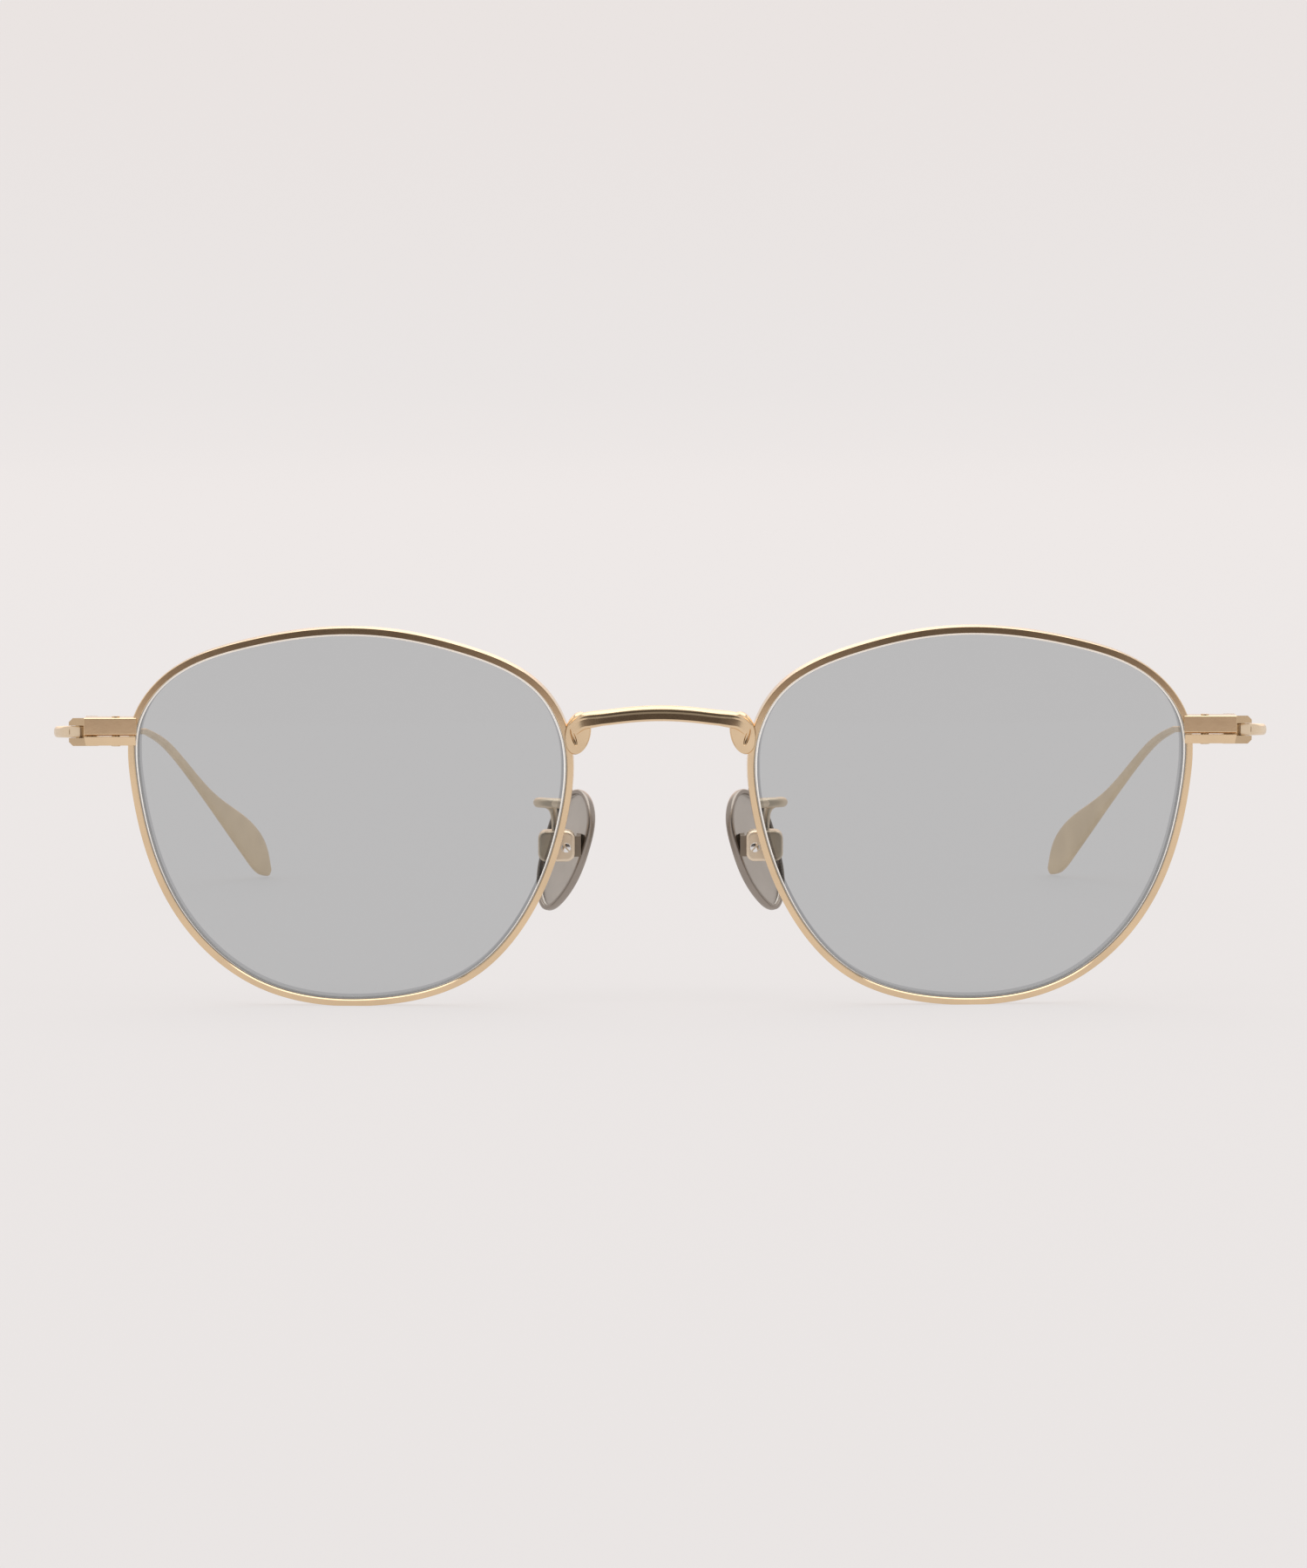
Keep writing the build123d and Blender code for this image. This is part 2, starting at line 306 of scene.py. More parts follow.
def bar_between(centre, length_way, width_way, depth_way, length, width, depth):
    """A plain box about a centre, along three directions."""
    corners = []
    for w in (-depth / 2, depth / 2):
        for l, a in ((-1, -1), (1, -1), (1, 1), (-1, 1)):
            spot = np.array(centre) + np.array(length_way) * (l * length / 2)
            corners.append(spot + np.array(width_way) * (a * width / 2) + np.array(depth_way) * w)
    faces = [(3, 2, 1, 0), (4, 5, 6, 7)]
    faces += [(k, (k + 1) % 4, (k + 1) % 4 + 4, k + 4) for k in range(4)]
    return np.array(corners), faces


def at_front(x, y, z):
    """A point whose y is counted back from the eyes' plane."""
    return np.array((x, FRONT_Y + y, z), float)


# ---- Materials ----


def shader(name):
    """A new material, its nodes and its main shader."""
    material = bpy.data.materials.new(name)
    material.use_nodes = True
    nodes = material.node_tree.nodes
    return material, nodes, material.node_tree.links, nodes["Principled BSDF"]


def metal(name, colour, roughness, grain=900.0, grain_depth=0.02, mottle=0.06):
    """A plated metal: a slight drift in tone, and fine polishing marks."""
    material, nodes, links, bsdf = shader(name)
    place_of = nodes.new("ShaderNodeTexCoord")
    bsdf.inputs["Metallic"].default_value = 1.0
    bsdf.inputs["IOR"].default_value = 2.4
    drift = nodes.new("ShaderNodeTexNoise")
    drift.inputs["Scale"].default_value = 180.0
    drift.inputs["Detail"].default_value = 3.0
    links.new(place_of.outputs["Object"], drift.inputs["Vector"])
    tone = nodes.new("ShaderNodeValToRGB")
    tone.color_ramp.elements[0].position = 0.3
    tone.color_ramp.elements[1].position = 0.7
    tone.color_ramp.elements[0].color = (*[c * (1 - mottle) for c in colour], 1)
    tone.color_ramp.elements[1].color = (*[min(1.0, c * (1 + mottle)) for c in colour], 1)
    links.new(drift.outputs["Fac"], tone.inputs["Fac"])
    links.new(tone.outputs["Color"], bsdf.inputs["Base Color"])
    marks = nodes.new("ShaderNodeTexNoise")
    marks.inputs["Scale"].default_value = grain
    marks.inputs["Detail"].default_value = 4.0
    links.new(place_of.outputs["Object"], marks.inputs["Vector"])
    rough = nodes.new("ShaderNodeMapRange")
    rough.inputs["To Min"].default_value = roughness * 0.8
    rough.inputs["To Max"].default_value = roughness * 1.2
    links.new(marks.outputs["Fac"], rough.inputs["Value"])
    links.new(rough.outputs["Result"], bsdf.inputs["Roughness"])
    bump = nodes.new("ShaderNodeBump")
    bump.inputs["Strength"].default_value = grain_depth
    bump.inputs["Distance"].default_value = 0.0002
    links.new(marks.outputs["Fac"], bump.inputs["Height"])
    links.new(bump.outputs["Normal"], bsdf.inputs["Normal"])
    return material


def tinted(name, tint, gloss_roughness, ior, coating):
    """A clear tinted surface: what is behind shows through, dimmed, under a gloss."""
    material, nodes, links, bsdf = shader(name)
    nodes.remove(bsdf)
    output = nodes["Material Output"]
    clear = nodes.new("ShaderNodeBsdfTransparent")
    clear.inputs["Color"].default_value = (*tint, 1)
    gloss = nodes.new("ShaderNodeBsdfGlossy")
    gloss.inputs["Roughness"].default_value = gloss_roughness
    gloss.inputs["Color"].default_value = (1, 1, 1, 1)
    share = nodes.new("ShaderNodeFresnel")
    share.inputs["IOR"].default_value = ior
    coated = nodes.new("ShaderNodeMath")
    coated.operation = "MULTIPLY"
    coated.inputs[1].default_value = coating
    mix = nodes.new("ShaderNodeMixShader")
    links.new(share.outputs["Fac"], coated.inputs[0])
    links.new(coated.outputs["Value"], mix.inputs["Fac"])
    links.new(clear.outputs["BSDF"], mix.inputs[1])
    links.new(gloss.outputs["BSDF"], mix.inputs[2])
    links.new(mix.outputs["Shader"], output.inputs["Surface"])
    return material


def plain(name, colour, roughness, glow=0.0):
    """A matt surface; glow is the light it gives off, on lens edges painted light for piped light."""
    material, nodes, links, bsdf = shader(name)
    bsdf.inputs["Emission Color"].default_value = (*colour, 1)
    bsdf.inputs["Emission Strength"].default_value = glow
    bsdf.inputs["Base Color"].default_value = (*colour, 1)
    bsdf.inputs["Roughness"].default_value = roughness
    bsdf.inputs["Specular IOR Level"].default_value = 0.0
    return material


GOLD = metal("gold_plating", (0.81, 0.615, 0.40), 0.15)
GOLD_SATIN = metal("gold_satin", (0.78, 0.64, 0.46), 0.32)
PAD_TITANIUM = metal("pad_titanium", (0.49, 0.46, 0.425), 0.34, grain_depth=0.05)
PAD_BAND = metal("pad_band", (0.34, 0.30, 0.265), 0.3, grain_depth=0.05)
PAD_BEIGE = metal("pad_beige", (0.80, 0.68, 0.53), 0.4)
# The lug's colour is darkened as painted shade, for the shadow it sits in between the pad box and the
# pad.
LUG_PAINTED_SHADE = metal("lug_painted_shade", (0.30, 0.25, 0.20), 0.5)
# The hinge fork's gold is the plating's gold darkened as painted shade, for the side shade it sits
# in.
GOLD_HINGE_PAINTED_SHADE = metal("gold_hinge_painted_shade", (0.70, 0.53, 0.34), 0.2)
SCREW_GOLD = metal("screw_gold", (0.70, 0.56, 0.38), 0.25)
SCREW_SILVER = metal("screw_silver", (0.82, 0.82, 0.82), 0.16)
LENS_FACE = tinted("lens_tint", (0.77, 0.783, 0.79), 0.03, 1.5, 0.15)
# The band just inside the bevel is tinted darker as painted shade, for the lens edge seen through the
# glass.
LENS_PAINTED_SHADE_BAND = tinted("lens_painted_shade_band", (0.60, 0.61, 0.62), 0.05, 1.6, 0.3)
# The grey edge inside the groove glows with painted light, for the grey it shows through the lens.
LENS_EDGE_PAINTED_GLOW = plain("lens_grey_edge_painted_glow", (0.5, 0.49, 0.48), 0.6, glow=0.35)
LENS_SHADE = plain("lens_shaded_edge", (0.10, 0.09, 0.08), 0.6)
# The ground edge's glow is painted light, standing in for the light that the ground edge pipes.
LENS_GROUND_PAINTED_GLOW = plain("lens_ground_edge_painted_glow", (0.88, 0.89, 0.89), 0.5, glow=0.42)

# ---- Rims and lenses ----

NASAL = np.array((cos(FACE_WRAP), -sin(FACE_WRAP), 0.0))
BROW = np.array((0.0, -sin(FRONT_LEAN), cos(FRONT_LEAN)))
FORWARD = np.cross(NASAL, BROW)
EYE = at_front(-EYE_SPACING / 2, 0, EYE_HEIGHT)

# The rim's front at the bottom, the sides and the top of the eye: where its flat ends, how much
# further in its lip is, how deep the bevel between them is, and the gap from the lip to the lens.
ROUND_THE_EYE = (-1, 0, 1)
RIM_FLAT_END = (0.68, 0.62, 0.72)
RIM_LIP_STEP = (0.11, 0.12, 0.02)
RIM_BEVEL_DEPTH = (0.125, 0.14, 0.1)
LENS_GAP = (0.07, 0.12, 0.02)


def on_eye(flat, depth):
    """Points of the eye's outline plane carried to the lens curve, depth counted forward."""
    flat = np.array(flat, float)
    out = (CURVE_RADIUS + np.ravel(depth)) ** 2 - (flat**2).sum(axis=1)
    rise = np.sqrt(out) - CURVE_RADIUS
    return EYE + flat[:, :1] * NASAL + flat[:, 1:] * BROW + rise[:, None] * FORWARD


def rim_lip(inward):
    """Where the rim's flat front ends, where its inner lip is, and how deep the bevel between is:
    the bevel is wide at the bottom and the sides of the eye and almost gone at the top."""
    upper = -inward[:, 1:]
    flat_end = np.interp(upper, ROUND_THE_EYE, RIM_FLAT_END)
    lip = flat_end + np.interp(upper, ROUND_THE_EYE, RIM_LIP_STEP)
    return flat_end, lip, np.interp(upper, ROUND_THE_EYE, RIM_BEVEL_DEPTH)


def rim_shape():
    """The rim's section carried round the outline, from one side of the saw cut to the other."""
    outline = through(RIM_OUTLINE, 420, closed=True)
    height = on_eye(outline, 0)[:, 2]
    temporal = outline[:, 0] < 0
    cut = np.argmin(np.where(temporal, np.abs(height - ENDPIECE_SPLIT), np.inf))
    outline = np.roll(outline, -cut, axis=0)
    inward = left_of(outline, closed=True)
    half = RIM_DEPTH / 2
    gap = SAW_CUT / 2
    ring_step = np.linalg.norm(outline[1] - outline[0])
    away = gap / ring_step
    start = outline[0] + (outline[1] - outline[0]) * away
    end = outline[0] + (outline[-1] - outline[0]) * away
    outline = np.vstack([start, outline[1:], end])
    inward = np.vstack([inward, inward[:1]])
    flat_end, lip, bevel = rim_lip(inward)
    section = [(0.0, -half + 0.14), (0.0, half - 0.12), (0.0, half - 0.08), (0.03, half - 0.03)]
    section += [(0.08, half), (0.12, half), (flat_end - 0.04, half), (flat_end, half)]
    section += [(lip, half - bevel), (lip, half - bevel - 0.04), (lip, 0.5), (0.5, 0.46)]
    section += [(0.5, -0.46), (lip, -0.5), (lip, -half + 0.14), (flat_end, -half)]
    section += [(0.14, -half), (0.04, -half + 0.04)]
    rows = np.array([on_eye(outline + inward * inset, depth) for inset, depth in section])
    return loft(rows.transpose(1, 0, 2))


def lens_shape():
    """The lens as rings: across the front, round its ground edge, and across the back. The ground
    bevel is narrowest at the bottom of the eye, where the band of painted shade inside it is wide."""
    outline = through(RIM_OUTLINE, 300, closed=True)
    inward = left_of(outline, closed=True)
    upper = -inward[:, 1:]
    half = LENS_THICKNESS / 2
    edge = rim_lip(inward)[1] + np.interp(upper, ROUND_THE_EYE, LENS_GAP)
    tongue = RIM_WIDTH - GROOVE_DEPTH + 0.05
    ground = edge + np.interp(upper, (-1, -0.5, 0, 1), (0.04, 0.12, 0.2, 0.18))
    painted_shade_band = ground + np.interp(upper, (-1, 0, 0.6, 1), (0.26, 0.33, 0.08, 0.02))
    profile = [(painted_shade_band, half - 0.1), (ground, half - 0.12), (edge, half - 0.3), (edge, 0.42)]
    profile += [(tongue, 0.38), (tongue, -0.38), (edge, -0.42), (edge, -half + 0.2)]
    profile += [(ground, -half + 0.02), (painted_shade_band, -half)]
    rings = [on_eye(outline + inward * inset, depth) for inset, depth in profile]
    inner_front = outline + inward * profile[0][0]
    inner_back = outline + inward * profile[-1][0]
    shares = np.linspace(0, 1, 14)[1:-1]
    front = [on_eye(inner_front * share, half - 0.1) for share in shares]
    back = [on_eye(inner_back * share, -half) for share in shares[::-1]]
    points, faces = loft(front + rings + back, caps=False)
    width = len(outline)
    total = len(points)
    last = total - width
    for j in range(width):
        faces.append((total, (j + 1) % width, j))
        faces.append((total + 1, last + j, last + (j + 1) % width))
    centres = [on_eye(np.zeros((1, 2)), side)[0] for side in (half - 0.1, -half)]
    return np.vstack([points, centres]), faces, len(front), width


def paint_lens_edges(obj, first_row, width):
    """The front bevel is white with a painted glow, the edge behind it dark with painted shade and
    then grey with a painted glow, and the band just inside the bevel tinted darker as painted shade."""
    obj.data.materials.append(LENS_PAINTED_SHADE_BAND)
    obj.data.materials.append(LENS_GROUND_PAINTED_GLOW)
    obj.data.materials.append(LENS_SHADE)
    obj.data.materials.append(LENS_EDGE_PAINTED_GLOW)
    looks = {0: 1, 1: 2, 2: 3, 3: 4, 4: 4, 5: 4, 6: 4, 7: 4, 8: 1}
    for index, face in enumerate(obj.data.polygons):
        row = index // width - first_row
        if len(face.vertices) == 4 and row in looks:
            face.material_index = looks[row]


pair("rim", rim_shape(), "front", GOLD)
lens_points, lens_faces, edge_row, lens_width = lens_shape()
for lens in pair("lens", (lens_points, lens_faces), "front", LENS_FACE):
    paint_lens_edges(lens, edge_row, lens_width)

# ---- Bridge ----

BRIDGE_PATH = [
    (-9.9, -0.25, 31.5),
    (-8.7, -0.62, 32.34),
    (-7.3, -0.92, 32.56),
    (-4.2, -1.5, 32.94),
    (0.0, -1.9, 33.22),
    (4.2, -1.5, 32.94),
    (7.3, -0.92, 32.56),
    (8.7, -0.62, 32.34),
    (9.9, -0.25, 31.5),
]
BAR_END_START, BAR_END_LENGTH = 6.5, 3.4
FOOT = (-9.25, 30.88)
FOOT_HALF_WIDTH, FOOT_HALF_HEIGHT = 1.45, 2.4
FOOT_TILT = radians(12)
FOOT_PEAK = (0.1, 0.7)
DENT_MIDDLE = (0.45, -0.66, 30.5)
DENT_LEAN = (0.6, -1.9)
DENT_HALF_LENGTH, DENT_HALF_WIDTH, DENT_DEPTH = 1.05, 0.27, 0.26


def bridge_bar():
    """The arched bar: rounded on top, a flat front face that leans forward to its lower edge, and
    ends that thin out into the feet."""
    path = through([at_front(*point) for point in BRIDGE_PATH], 120)
    ahead = np.gradient(path, axis=0)
    ahead /= np.linalg.norm(ahead, axis=1)[:, None]
    section = [(-0.3, 0.93), (0.0, 0.93), (0.26, 0.87), (0.44, 0.74), (0.56, 0.58), (0.62, 0.48)]
    section += [(0.625, 0.45), (0.65, 0.3), (0.655, 0.27), (0.775, 0.1), (0.78, 0.06), (0.86, -0.5)]
    section += [(0.865, -0.54), (0.7, -0.7), (0.45, -0.8), (0.2, -0.82)]
    section += [(-0.35, -0.82), (-0.75, -0.55), (-0.75, 0.6)]
    rings = []
    for centre, way in zip(path, ahead):
        front = np.cross(way, (0, 0, 1.0))
        front /= np.linalg.norm(front)
        up = np.cross(front, way)
        end = max(0.0, (abs(centre[0]) - BAR_END_START) / BAR_END_LENGTH)
        thin = 1 - 0.3 * end
        high = 1 - 0.35 * end**2
        drop = 1 + 0.55 * min(end, 0.4)
        ring = [centre + front * f * thin + up * a * (drop if a < 0 else high) for f, a in section]
        rings.append(ring)
    return loft(rings)


def foot_shape(side):
    """A forged lobe lying over the rim: fullest near its top, so most of its face looks down."""
    tilt = -side * FOOT_TILT
    outline = []
    for angle in np.linspace(0, tau, 64, endpoint=False):
        x, z = FOOT_HALF_WIDTH * cos(angle), FOOT_HALF_HEIGHT * sin(angle)
        outline.append((x * cos(tilt) - z * sin(tilt), x * sin(tilt) + z * cos(tilt)))
    outline = np.array(outline)
    peak = np.array((-FOOT_PEAK[0] * side, FOOT_PEAK[1]))
    rows = [(1.0, 1.2), (1.0, -0.05), (0.985, -0.22), (0.94, -0.36), (0.85, -0.48), (0.7, -0.6)]
    rows += [(0.5, -0.7), (0.28, -0.78), (0.08, -0.8)]
    rings = []
    for share, y in rows:
        flat = peak + (outline - peak) * share
        rings.append([at_front(side * FOOT[0] + x, y, FOOT[1] + z) for x, z in flat])
    return loft(rings)


def foot_dent(side):
    """The leaf-shaped dent that the forging die leaves on a foot's outer half."""
    leaf = Vector((DENT_LEAN[0] * side, 0, DENT_LEAN[1])).normalized()
    across = Vector((leaf.z, 0, -leaf.x))
    out, y, z = DENT_MIDDLE
    middle = at_front(side * FOOT[0] - out * side, y, z)
    wide, deep = np.array(across) * DENT_HALF_WIDTH, np.array((0, DENT_DEPTH, 0))
    turn = np.linspace(0, tau, 20, endpoint=False)
    rings = []
    for along in np.linspace(-0.99, 0.99, 17):
        reach = np.sqrt(1 - along**2)
        ring = middle + np.array(leaf) * along * DENT_HALF_LENGTH
        rings.append([ring + wide * reach * cos(t) + deep * reach * sin(t) for t in turn])
    return loft(rings)


def bridge_piece():
    """The bar and both feet, forged as one piece."""
    feet = [joined([foot_shape(side), foot_dent(side)], "DIFFERENCE") for side in (1, -1)]
    shape = joined([bridge_bar(), *feet])
    mesh = mesh_of("bridge_shape", *shape)
    place("bridge_made", mesh, "front", "bridge", GOLD)


bridge_piece()

# ---- Temples ----

SHAFT_LENGTH = 88
BACK = np.array((0.0, cos(TEMPLE_SLOPE), -sin(TEMPLE_SLOPE)))
PIN_UP = np.array((0.0, sin(TEMPLE_SLOPE), cos(TEMPLE_SLOPE)))
OUT = np.array((-1.0, 0.0, 0.0))
HINGE = at_front(*PIN)


def on_temple(back, out, up):
    """A point in the temple's frame: back along it, outwards, and up the pin."""
    return HINGE + BACK * back + OUT * out + PIN_UP * up


def temple_shaft():
    """The shaft and its flattened tip: a soft-cornered strip that follows the plan curve."""
    plan = through(TEMPLE_PLAN, 500)
    plan_side = left_of(plan)
    shaft_steps = np.concatenate([np.linspace(-0.5, 8, 40), np.linspace(8.8, 86.5, 100)])
    half = KNUCKLE_HEIGHT / 2
    shares = shaft_steps / SHAFT_LENGTH
    top = [(t, half - 0.17 * share) for t, share in zip(shaft_steps, shares)]
    bottom = [(t, 0.07 * share - half) for t, share in zip(shaft_steps, shares)]
    easing = 1 - (1 - np.linspace(0, 1, 90)) ** 1.6
    tip_top, tip_bottom = through(TIP_TOP, 400), through(TIP_BOTTOM, 400)
    picks = np.round(easing * 399).astype(int)
    top += [tuple(point) for point in tip_top[picks]]
    bottom += [tuple(point) for point in tip_bottom[picks]]
    turn = np.linspace(0, tau, 32, endpoint=False)
    rings = []
    for (t1, a1), (t0, a0) in zip(top, bottom):
        flatness = np.interp(t1, (0, 70, 110), (0.85, 0.9, 0.6))
        slim = np.interp(t1, (0, 6, 20, 60, 95, 115), (1.2, 1.1, 0.82, 0.8, 0.93, 1.1))
        across = np.sign(np.cos(turn)) * np.abs(np.cos(turn)) ** flatness * slim
        upward = np.sign(np.sin(turn)) * np.abs(np.sin(turn)) ** flatness
        low = np.interp(t1, (0, 6, 20, 60, 88, 104), (1.0, 0.95, 0.68, 0.64, 0.7, 1.0))
        ring = []
        for side, rise_share in zip(across, upward):
            share = (rise_share * low + 1) / 2
            back, up = t0 + (t1 - t0) * share, a0 + (a1 - a0) * share
            centre = np.array([np.interp(back, plan[:, 0], plan[:, k]) for k in range(2)])
            normal = np.array([np.interp(back, plan[:, 0], plan_side[:, k]) for k in range(2)])
            spot = centre + normal * side * TEMPLE_THICKNESS / 2
            ring.append(on_temple(spot[0], spot[1], up))
        rings.append(ring)
    return loft(rings)


def prism(outline, low, high, bevel):
    """An outline in the temple's plan, standing between two heights, bevelled, and thinner further
    out from the hinge."""
    outline = np.array(outline, float)
    middle = outline.mean(axis=0)
    reach = np.linalg.norm(outline - middle, axis=1)[:, None]
    rings = []
    for up, inset in ((low, bevel), (low + bevel, 0), (high - bevel, 0), (high, bevel)):
        flat = outline - (outline - middle) / reach * inset
        rings.append([on_temple(x, y, up * np.interp(y, (1.0, 3.2), (1.0, 0.62))) for x, y in flat])
    return loft(rings)


SHOULDER = [
    (-1.85, -0.1),
    (0.8, 0.0),
    (1.6, 1.2),
    (4.4, 2.75),
    (4.4, 3.2),
    (2.4, 2.95),
    (1.0, 2.35),
    (-0.4, 1.5),
    (-1.45, 0.5),
]


def temple_shape():
    """The shaft, its shoulder and its hinge knuckle as one piece."""
    half = KNUCKLE_HEIGHT / 2
    inner, edge = KNUCKLE_RADIUS - 0.08, half - 0.08
    turned = [(inner, -half), (KNUCKLE_RADIUS, -edge), (KNUCKLE_RADIUS, edge), (inner, half)]
    return joined([lathe(HINGE, PIN_UP, turned), prism(SHOULDER, -half, half, 0.14), temple_shaft()])


pair("temple", temple_shape(), "temple_{}", GOLD_SATIN)

# ---- Nose pads and their arms and screws ----


def unit(way):
    """A direction as a vector of length 1."""
    way = np.array(way, float)
    return way / np.linalg.norm(way)


PAD_NORMAL = unit(PAD_FACE)
PAD_LONG = unit(np.array(PAD_UP) - PAD_NORMAL * (np.array(PAD_UP) @ PAD_NORMAL))
PAD_WIDE = np.cross(PAD_NORMAL, PAD_LONG)
PAD_MIDDLE = at_front(*PAD_CENTRE)
PAD_STEPS = 120
PAD_BAND_ROWS = (6, 14)
LUG_X, LUG_Y, LUG_THICKNESS = -10.65, 5.675, 0.85
LUG_BELOW, LUG_ABOVE = 1.1, 1.2


def on_pad(flat, height):
    """Points of the pad's outline plane, at a height towards the lens."""
    flat = np.array(flat, float)
    return PAD_MIDDLE + flat[:, :1] * PAD_LONG + flat[:, 1:] * PAD_WIDE + height * PAD_NORMAL


def pad_shell():
    """The pad's shell: a crowned side for the nose, a rounded edge, and a recessed panel."""
    outline = through(PAD_OUTLINE, PAD_STEPS, closed=True)
    inward = left_of(outline, closed=True)
    half = PAD_THICKNESS / 2
    profile = [(0.9, -half), (0.4, -half + 0.05), (0.12, -half + 0.2), (0.0, -half + 0.5)]
    profile += [(0.0, half - 0.25), (0.06, half - 0.09), (0.16, half - 0.02), (0.28, half)]
    profile += [(0.4, half - 0.03), (0.5, half - 0.1), (0.57, half - PAD_RECESS + 0.1)]
    profile += [(0.64, half - PAD_RECESS)]
    rings = [on_pad(outline + inward * inset, height) for inset, height in profile]
    nose_side = outline + inward * 0.9
    panel = outline + inward * 0.64
    for share in (0.8, 0.5, 0.2, 0.03):
        rings.insert(0, on_pad(nose_side * share, -half - 0.12 * (1 - share**2)))
        rings.append(on_pad(panel * share, half - PAD_RECESS + 0.05 * (1 - share)))
    return loft(rings)


def pad_lug():
    """The lug that the screw passes through, bent at the pad and brazed to it."""
    low, high = PAD_SCREW[2] - LUG_BELOW, PAD_SCREW[2] + LUG_ABOVE
    middle = (low + high) / 2
    height = high - low
    side, back, up = np.eye(3)
    plate_middle = at_front(LUG_X, LUG_Y, middle)
    plate = bar_between(plate_middle, side, up, back, 3.3, height, LUG_THICKNESS)
    bent = bar_between(at_front(-9.25, 8.0, middle), back, up, side, 5.5, height, 0.5)
    past_pad = PAD_MIDDLE - PAD_NORMAL * 10
    beyond = bar_between(past_pad, PAD_LONG, PAD_WIDE, PAD_NORMAL, 30, 30, 20)
    trimmed = joined([joined([plate, bent]), beyond], "DIFFERENCE")
    hole = lathe(at_front(*PAD_SCREW), back, [(0.43, 0), (0.43, 4)])
    return joined([trimmed, hole], "DIFFERENCE")


for pad in pair("nose_pad", pad_shell(), "pad_{}", PAD_TITANIUM):
    pad.data.materials.append(PAD_BAND)
    for index, face in enumerate(pad.data.polygons):
        face.material_index = int(PAD_BAND_ROWS[0] <= index // PAD_STEPS < PAD_BAND_ROWS[1])
lug = pad_lug()
# The lugs carry the darkened colour: painted shade between the box and the pad.
for side, mirrored in SIDES:
    mesh = mesh_of(f"pad_lug_{side}_shape", *lug, mirrored=mirrored)
    place(f"pad_lug_{side}_made", mesh, f"pad_{side}", f"nose_pad_{side}", LUG_PAINTED_SHADE)



def pad_arm():
    """The bent wire from the rim to the pad box, which thins towards the box."""
    line = through([at_front(*point) for point in ARM_PATH], 70)
    along = np.linspace(0, 1, 70)
    radii = np.interp(along, (0, 0.6, 0.8, 1), (1.22, 1.15, 0.9, 0.88)) * ARM_RADIUS
    return tube(line, radii)


pair("pad_arm", pad_arm(), "front", PAD_BEIGE)

# ---- Screws ----

SLOT_WIDTH = 0.17


def slotted_screw(origin, out, head_radius, head_height, shaft_radius, shaft_length, slot_way):
    """A screw whose head ends at origin, pointing out, with a slot across it."""
    out = unit(out)
    edge = min(0.09, head_height * 0.35)
    profile = [(shaft_radius, -head_height - shaft_length), (shaft_radius, -head_height)]
    profile += [(head_radius, -head_height), (head_radius, -edge)]
    profile += [(head_radius - edge * 0.4, -edge * 0.35), (head_radius - edge, 0)]
    screw = lathe(origin, out, profile, sides=48)
    slot_way = unit(np.array(slot_way) - out * (np.array(slot_way) @ out))
    cut = bar_between(origin, slot_way, np.cross(out, slot_way), out, 3, SLOT_WIDTH, head_height)
    return joined([screw, cut], "DIFFERENCE")


pad_screw = slotted_screw(
    origin=at_front(PAD_SCREW[0], PAD_SCREW[1] - 0.08, PAD_SCREW[2]),
    out=(0, -1, 0),
    head_radius=0.56,
    head_height=0.35,
    shaft_radius=0.4,
    shaft_length=2.35,
    slot_way=(1, 0, -1.1),
)
pair("pad_screw", pad_screw, "front", SCREW_SILVER)
rim_screw = slotted_screw(
    origin=at_front(-61.2, 3.5, 29.28),
    out=(0, 0, -1),
    head_radius=0.54,
    head_height=0.15,
    shaft_radius=0.45,
    shaft_length=3.22,
    slot_way=(1, 0.6, 0),
)
pair("rim_screw", rim_screw, "front", SCREW_GOLD)
hinge_screw = slotted_screw(
    origin=on_temple(0, 0, 1.55),
    out=PIN_UP,
    head_radius=0.78,
    head_height=0.4,
    shaft_radius=0.5,
    shaft_length=2.75,
    slot_way=(1, 0.4, 0),
)
pair("hinge_screw", hinge_screw, "front", SCREW_GOLD)

# ---- Endpieces and closing blocks ----

BLOCK_OUTER, BLOCK_INNER = -64.7, -58.8
BLOCK_FRONT, BLOCK_BACK = 2.1, 4.7
BLOCK_TOP, BLOCK_BOTTOM = 32.55, 29.43
WALL_INNER, WALL_BACK = -63.4, 5.5
WALL_OVERLAP = 0.3
BLOCK_BEVEL, WALL_BEVEL = 0.045, 0.06
ENDPIECE_CREST, ENDPIECE_SILL, ENDPIECE_LEAN = 0.11, 0.17, 0.065
CLOSING_SLANT, CLOSING_LEAN = 0.22, 0.13


def soft_box(low, high, bevel, shift=None, crest=0.0, sill=0.0):
    """A box with rounded edges; shift moves its corners first, then crest and sill bevel the top
    and bottom edges of its front."""
    made = bmesh.new()
    bmesh.ops.create_cube(made, size=1)
    low, high = at_front(*low), at_front(*high)
    for v in made.verts:
        corner = [low[k] if v.co[k] < 0 else high[k] for k in range(3)]
        if shift:
            corner = np.array(corner) + shift(*[v.co[k] > 0 for k in range(3)])
        v.co = corner
    for size, level in ((crest, high[2]), (sill, low[2])):
        if size:
            edge = [
                e for e in made.edges
                if all(v.co.y < low[1] + 0.3 and abs(v.co.z - level) < 0.3 for v in e.verts)
            ]
            bmesh.ops.bevel(made, geom=edge, offset=size, segments=1, affect="EDGES")
    rounding = {"segments": 3, "profile": 0.5, "affect": "EDGES", "clamp_overlap": True}
    bmesh.ops.bevel(made, geom=made.edges[:], offset=bevel, **rounding)
    points = [tuple(v.co) for v in made.verts]
    made.verts.index_update()
    faces = [tuple(v.index for v in face.verts) for face in made.faces]
    made.free()
    return points, faces


